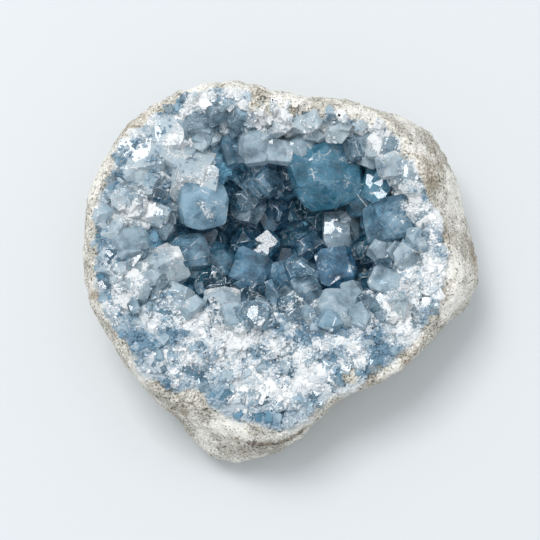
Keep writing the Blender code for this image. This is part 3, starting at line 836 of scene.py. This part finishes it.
# Celestite: a clear to milky grey-blue mineral, glassy on its faces. What is clear lets light through and
# takes out its red. What is flawed or milky scatters it and looks paler. Cracks are white, and the bevelled
# edges are painted white as highlight.
CRYSTAL_TEAL, CRYSTAL_BLUE = "#42899f", "#4585aa"
CRYSTAL_MIDDLE, CRYSTAL_PALE, CRYSTAL_FROST = "#8bb4cb", "#d0e1e9", "#ececeb"
CELESTITE_IOR = 1.62
# What light keeps on its way through, and how much a metre of the crystal takes out of the rest.
ABSORPTION_COLOUR, ABSORPTION = "#7cdaf0", 24.0
# The least and the most of the light that its milk scatters.
MILK_LEAST, MILK_MOST = 0.08, 0.7
CLOUD_SIZES = (7, 2.2)
# How far apart two crystals' patterns lie, where their own values are 0 and 1.
OWN_SPREAD = 60.0
# Growth streaks: fine lines that run one way through a crystal, drawn a little coarser than the real ones.
STREAK_WIDTH, STREAK_SCALE, STREAK_AXIS = 0.5, (1.0, 0.1, 0.1), (0.3, 0.2, 1.0)
# Healed fractures: thin bright lines that curve across a crystal. Their width is a share of the gap between
# them.
FRACTURE_SIZE, FRACTURE_BEND, FRACTURE_WIDTH = 6.0, 5.0, 0.04
EDGE_HIGHLIGHT_WHITENESS, CRACK_WHITENESS, STREAK_WHITENESS, FRACTURE_WHITENESS = 0.75, 1.0, 0.55, 0.9
# Growth facets: the small flat parts that a crystal's face is made of, how steep they lean, and how deep the
# fine relief on them is.
FACET_SIZE, FACET_LEAN, FINE_BUMP = 3.5, 0.22, 0.15 * MM
MULTIPLY, MAXIMUM = {"operation": "MULTIPLY"}, {"operation": "MAXIMUM"}


def celestite():
    """The crystals' material."""
    material, tree, shader = new_material("celestite_crystal")
    place = add_node(tree, "ShaderNodeTexCoord", output="Object")
    pale, milky, frost, blue, own, edge_highlight, crack = (
        add_node(tree, "ShaderNodeAttribute", {"attribute_name": name}, output="Fac") for name in LOOK_LAYERS
    )
    drift, grit = drifts_and_grit(tree, place)
    # Each crystal has a pattern of its own, so that it parts from its neighbours.
    apart = add_node(tree, "ShaderNodeMath", MULTIPLY, {0: own, 1: OWN_SPREAD})
    clouds, veils = (
        add_node(
            tree,
            "ShaderNodeTexNoise",
            {"noise_dimensions": "4D"},
            {"Vector": place, "W": apart, "Scale": per_mm(size), "Detail": 5.0, "Roughness": 0.6},
            "Fac",
        )
        for size in CLOUD_SIZES
    )
    angle = add_node(tree, "ShaderNodeMath", MULTIPLY, {0: own, 1: math.tau})
    turned = add_node(
        tree, "ShaderNodeVectorRotate", (), {"Vector": place, "Axis": STREAK_AXIS, "Angle": angle}
    )
    streaks = add_node(tree, "ShaderNodeMapping", (), {"Vector": turned, "Scale": STREAK_SCALE})
    streaks = add_node(
        tree,
        "ShaderNodeTexNoise",
        (),
        {"Vector": streaks, "Scale": per_mm(STREAK_WIDTH), "Detail": 2.0},
        "Fac",
    )
    cloudy = add_node(tree, "ShaderNodeMath", MULTIPLY_ADD, {0: milky, 1: 0.6, 2: clouds})
    milk = add_node(
        tree,
        "ShaderNodeMapRange",
        SOFT,
        {"Value": cloudy, "From Min": 0.5, "From Max": 0.95, "To Min": MILK_LEAST, "To Max": MILK_MOST},
    )
    paleness = add_node(tree, "ShaderNodeMath", MULTIPLY_ADD, {0: clouds, 1: 0.5, 2: pale})
    middle = add_node(tree, "ShaderNodeMapRange", (), {"Value": paleness, "From Min": 0.2, "From Max": 0.7})
    palest = add_node(tree, "ShaderNodeMapRange", (), {"Value": paleness, "From Min": 0.6, "From Max": 1.2})
    # White: frost in drifts, and the painted highlight on bevelled edges and the cracks where they are
    # patchy.
    frosty = add_node(tree, "ShaderNodeMath", MULTIPLY_ADD, {0: frost, 1: 0.3, 2: drift})
    frosty = add_node(tree, "ShaderNodeMath", MULTIPLY_ADD, {0: grit, 1: 0.3, 2: frosty})
    frosted = add_node(
        tree, "ShaderNodeMapRange", SOFT, {"Value": frosty, "From Min": 0.79, "From Max": 0.93}
    )
    patches = add_node(
        tree,
        "ShaderNodeMapRange",
        SOFT,
        {"Value": veils, "From Min": 0.42, "From Max": 0.62, "To Min": 0.1},
    )
    bent = add_node(
        tree,
        "ShaderNodeTexNoise",
        {"noise_dimensions": "4D"},
        {"Vector": place, "W": apart, "Scale": per_mm(FRACTURE_BEND), "Detail": 1.0},
        "Color",
    )
    bent = add_node(
        tree, "ShaderNodeVectorMath", MULTIPLY_ADD, {0: bent, 1: [FRACTURE_SIZE * MM] * 3, 2: place}
    )
    fracture = add_node(
        tree,
        "ShaderNodeTexVoronoi",
        {"voronoi_dimensions": "4D", "feature": "DISTANCE_TO_EDGE"},
        {"Vector": bent, "W": apart, "Scale": per_mm(FRACTURE_SIZE)},
        "Distance",
    )
    few = add_node(
        tree,
        "ShaderNodeMapRange",
        SOFT,
        {"Value": clouds, "From Min": 0.47, "From Max": 0.6, "To Max": FRACTURE_WHITENESS},
    )
    fracture = add_node(
        tree,
        "ShaderNodeMapRange",
        SOFT,
        {"Value": fracture, "From Min": FRACTURE_WIDTH, "From Max": 0.0, "To Max": few},
    )
    # The bevelled edges are painted white as highlight.
    edges = add_node(tree, "ShaderNodeMath", MULTIPLY, {0: edge_highlight, 1: EDGE_HIGHLIGHT_WHITENESS})
    lines = add_node(tree, "ShaderNodeMath", MULTIPLY_ADD, {0: crack, 1: CRACK_WHITENESS, 2: edges})
    streaky = add_node(
        tree,
        "ShaderNodeMapRange",
        SOFT,
        {"Value": streaks, "From Min": 0.56, "From Max": 0.72, "To Max": STREAK_WHITENESS},
    )
    lines = add_node(tree, "ShaderNodeMath", MAXIMUM, {0: lines, 1: streaky})
    lines = add_node(tree, "ShaderNodeMath", MAXIMUM, {0: lines, 1: fracture})
    lines = add_node(tree, "ShaderNodeMath", MULTIPLY, {0: lines, 1: patches})
    white = add_node(tree, "ShaderNodeMath", MAXIMUM, {0: frosted, 1: lines})
    colour = linear(CRYSTAL_TEAL)
    shares = (blue, middle, palest, white)
    for share, tone in zip(shares, (CRYSTAL_BLUE, CRYSTAL_MIDDLE, CRYSTAL_PALE, CRYSTAL_FROST)):
        layers = {MIX_SHARE: share, MIX_A: colour, MIX_B: linear(tone)}
        colour = add_node(tree, "ShaderNodeMix", MIX, layers, MIX_RESULT)
    tree.links.new(colour, shader.inputs["Base Color"])
    scattering = add_node(tree, "ShaderNodeMath", MAXIMUM, {0: milk, 1: white})
    clear = add_node(tree, "ShaderNodeMath", {"operation": "SUBTRACT"}, {0: 1.0, 1: scattering})
    tree.links.new(clear, shader.inputs["Transmission Weight"])
    rough = add_node(tree, "ShaderNodeMapRange", (), {"Value": frosted, "To Min": 0.05, "To Max": 0.5})
    tree.links.new(rough, shader.inputs["Roughness"])
    cell, own_lean = (
        add_node(
            tree,
            "ShaderNodeTexVoronoi",
            {"voronoi_dimensions": "4D"},
            {"Vector": place, "W": apart, "Scale": per_mm(FACET_SIZE)},
            output,
        )
        for output in ("Position", "Color")
    )
    away = add_node(tree, "ShaderNodeVectorMath", {"operation": "SUBTRACT"}, {0: place, 1: cell})
    own_lean = add_node(tree, "ShaderNodeVectorMath", {"operation": "SUBTRACT"}, {0: own_lean, 1: [0.5] * 3})
    facets = add_node(
        tree, "ShaderNodeVectorMath", {"operation": "DOT_PRODUCT"}, {0: away, 1: own_lean}, "Value"
    )
    faceted = add_node(
        tree, "ShaderNodeBump", (), {"Strength": 1.0, "Distance": FACET_LEAN, "Height": facets}, "Normal"
    )
    uneven = add_node(tree, "ShaderNodeMath", MULTIPLY_ADD, {0: streaks, 1: 0.3, 2: veils})
    bump = add_node(
        tree,
        "ShaderNodeBump",
        (),
        {"Strength": 0.03, "Distance": FINE_BUMP, "Height": uneven, "Normal": faceted},
        "Normal",
    )
    tree.links.new(bump, shader.inputs["Normal"])
    shader.inputs["IOR"].default_value = CELESTITE_IOR
    volume = add_node(
        tree, "ShaderNodeVolumeAbsorption", (), {"Color": linear(ABSORPTION_COLOUR), "Density": ABSORPTION}
    )
    tree.links.new(volume, tree.nodes["Material Output"].inputs["Volume"])
    return material


crystal = celestite()
finish_piece("crystal_crust_celestite", crust_mesh, crystal, "celestite", "crystal_crust")

# The rim's crystals. The break runs through crystals that grew in the rock's edge, so the rim shows their
# ends, level with the stone or a little proud of it, all over its fresh part.
RIM_COUNT, RIM_GAP = 900, 2.2
RIM_WIDTH, RIM_STAND_OUT = (1.8, 6.0), (-0.6, 0.5)
RIM_LEAN, RIM_MARGIN = 0.3, 2.0
# How pale and how frosted they are, how milky, and how much whiter they are where the rim isn't grey.
RIM_PALENESS, RIM_MILKINESS, RIM_WHITER = (0, 0.65), (0.1, 0.8), 0.35


def is_rim(face):
    """Whether a face of the rock lies on the broken rim, clear of its outer edge and of the crust."""
    inset = fresh_inset(rim_inset(face.center, face.normal), face.center)
    return inset > RIM_MARGIN and not is_under_crust(face)


for root, normal in points_on(rock_mesh, is_rim, RIM_COUNT, RIM_GAP * MM, rng):
    lean = Vector([rng.uniform(-RIM_LEAN, RIM_LEAN) for _ in range(3)])
    axis = (rock_tree.find_nearest(root)[1] + lean).normalized()
    width = rng.uniform(*RIM_WIDTH)
    tip = root + axis * rng.uniform(*RIM_STAND_OUT) * MM
    size = rooted(tip, axis, (width, width * rng.uniform(SMALL_SLIMMEST, 1), width / 2 + ROOT_IN_ROCK))
    whiter = RIM_WHITER * (1 - rim_greyness(root))
    pale = rng.uniform(*RIM_PALENESS) + whiter
    milky = rng.uniform(*RIM_MILKINESS)
    frost = rng.uniform(*RIM_PALENESS) + whiter
    look = (pale, milky, frost, rng.random())
    grow_crystal(tip, axis, size, rng.uniform(0, 180), "slab", look, EDGE_WIDTH_SMALL, 0, rng)
rim_mesh = joined_skin()
finish_piece("rim_crystals", rim_mesh, crystal, "celestite")

# The sugar: white grains of celestite, about half a millimetre to one across, that cover the rim in drifts
# and lie between the crystals at its edge. Each is a small block with broken corners.
SUGAR_COUNT, SUGAR_WIDTH, SUGAR_STAND_OUT = 9000, (0.4, 1.3), 0.15
# How wide the drifts are, the noise that a grain has to pass to lie there, and how much more on a grey rim.
SUGAR_DRIFT, SUGAR_PASS, SUGAR_LACK = 9, (-0.4, 0.3), 0.35
# How many shapes of grain there are, and each one's broken corners: how many, and how far from its middle.
SUGAR_SHAPES, SUGAR_CORNERS, SUGAR_CORNER_PLACE = 24, 4, (0.3, 0.5)
# The frost on the crystals near the edge: how high it lies, how frosted they are and how much they face up.
FROST_COUNT, FROST_GAP = 1500, 0.6
FROST_LEVEL, FROST_LEAST, FROST_RISE = 46 * MM, 0.3, 0.2

crust_triangles = crust_mesh.copy()
bm = bmesh.new()
bm.from_mesh(crust_triangles)
bmesh.ops.triangulate(bm, faces=bm.faces)
store(bm, crust_triangles)
crust_frost = crust_triangles.attributes["frost"].data


def is_frosted(face):
    """Whether a face of a crystal has frost, lies high and faces up."""
    is_high = face.center.z > FROST_LEVEL
    return crust_frost[face.index].value > FROST_LEAST and is_high and face.normal.z > FROST_RISE


white_grains = []
for _ in range(SUGAR_SHAPES):
    bm = bmesh.new()
    bmesh.ops.create_cube(bm, size=1.0)
    for _ in range(SUGAR_CORNERS):
        out = Vector([rng.uniform(-1, 1) for _ in range(3)]).normalized()
        cut_face(bm, out * rng.uniform(*SUGAR_CORNER_PLACE), out)
    bmesh.ops.recalc_face_normals(bm, faces=bm.faces)
    mesh = bpy.data.meshes.new("grain")
    store(bm, mesh)
    white_grains.append(mesh)
grains = bmesh.new()
placed_grain = bpy.data.meshes.new("placed_grain")
faces = [face for face in rock_mesh.polygons if is_rim(face) or is_under_edge(face)]
chosen = rng.choices(faces, weights=[face.area for face in faces], k=SUGAR_COUNT)
places = [(face.center.copy(), face.normal.copy()) for face in chosen]
places += points_on(crust_triangles, is_frosted, FROST_COUNT, FROST_GAP * MM, rng)
for point, normal in places:
    lack = SUGAR_LACK * rim_greyness(point)
    if noise.noise(point / (SUGAR_DRIFT * MM)) < rng.uniform(*SUGAR_PASS) + lack:
        continue
    bm = bmesh.new()
    bm.from_mesh(rng.choice(white_grains))
    size = rng.uniform(*SUGAR_WIDTH) * MM
    axis = Vector([rng.uniform(-1, 1) for _ in range(3)]).normalized()
    turned = Matrix.Rotation(rng.uniform(0, math.tau), 4, axis)
    place = Matrix.Translation(point + normal * size * SUGAR_STAND_OUT)
    bm.transform(place @ turned @ Matrix.Scale(size, 4))
    store(bm, placed_grain)
    grains.from_mesh(placed_grain)
keep_in_box(grains)
sugar_mesh = bpy.data.meshes.new("rim_sugar")
store(grains, sugar_mesh)

# Sugary celestite: fine white grains that scatter light, with a dull gleam, and blue-grey between the drifts.
SUGAR_ROUGHNESS = 0.35
sugar, tree, shader = new_material("white_celestite_sugar")
place = add_node(tree, "ShaderNodeTexCoord", output="Object")
tree.links.new(rim_colour(tree, *drifts_and_grit(tree, place)), shader.inputs["Base Color"])
shader.inputs["Roughness"].default_value = SUGAR_ROUGHNESS
shader.inputs["IOR"].default_value = CELESTITE_IOR
finish_piece("rim_sugar", sugar_mesh, sugar, "celestite")

# The floor that it lies on, a sheet of white paper that is dull all over. It isn't part of the object. Nor
# are the soft light from the upper left and the camera. Their lengths are in metres.
FLOOR_HALF = 3.0
PAPER_WHITE, PAPER_ROUGHNESS = "#d5d8d9", 0.8
floor_mesh = bpy.data.meshes.new("floor")
bm = bmesh.new()
bmesh.ops.create_grid(bm, x_segments=1, y_segments=1, size=FLOOR_HALF)
store(bm, floor_mesh)
floor = bpy.data.objects.new("floor", floor_mesh)
bpy.context.scene.collection.objects.link(floor)
paper, tree, shader = new_material("white_paper")
shader.inputs["Base Color"].default_value = linear(PAPER_WHITE)
shader.inputs["Roughness"].default_value = PAPER_ROUGHNESS
floor_mesh.materials.append(paper)

LIGHT_PLACE = Vector((-0.6, 0.6, 2.4))
LIGHT_SIZE, LIGHT_WATTS = 1.0, 34.0
lamp = bpy.data.lights.new("softbox", "AREA")
lamp.shape = "SQUARE"
lamp.size = LIGHT_SIZE
lamp.energy = LIGHT_WATTS
softbox = bpy.data.objects.new("softbox", lamp)
softbox.location = LIGHT_PLACE
softbox.rotation_mode = "QUATERNION"
softbox.rotation_quaternion = (-LIGHT_PLACE).to_track_quat("-Z", "Y")
bpy.context.scene.collection.objects.link(softbox)

# The studio's walls: their colour, and how bright they are from the ground up to straight overhead.
STUDIO_COLOUR, STUDIO_LOW, STUDIO_HIGH = "#f1f6fb", 0.42, 1.08
world = bpy.data.worlds.new("studio")
bpy.context.scene.world = world
world.use_nodes = True
background = world.node_tree.nodes["Background"]
up = add_node(world.node_tree, "ShaderNodeTexCoord", output="Generated")
up = add_node(world.node_tree, "ShaderNodeSeparateXYZ", (), {"Vector": up}, "Z")
rise = add_node(
    world.node_tree, "ShaderNodeMapRange", (), {"Value": up, "To Min": STUDIO_LOW, "To Max": STUDIO_HIGH}
)
world.node_tree.links.new(rise, background.inputs["Strength"])
background.inputs["Color"].default_value = linear(STUDIO_COLOUR)

CAMERA_TARGET = Vector((-4.63, -2.93, 45)) * MM
CAMERA_DISTANCE, CAMERA_ELEVATION = 0.75, 75
SENSOR, LENS = 36.0, 130.6
camera = bpy.data.cameras.new("camera")
camera.sensor_width = SENSOR
camera.lens = LENS
camera_object = bpy.data.objects.new("camera", camera)
back = direction(-90, CAMERA_ELEVATION)
camera_object.location = CAMERA_TARGET + back * CAMERA_DISTANCE
camera_object.rotation_mode = "QUATERNION"
camera_object.rotation_quaternion = (-back).to_track_quat("-Z", "Y")
bpy.context.scene.collection.objects.link(camera_object)
bpy.context.scene.camera = camera_object
bpy.context.scene.view_settings.view_transform = "Standard"
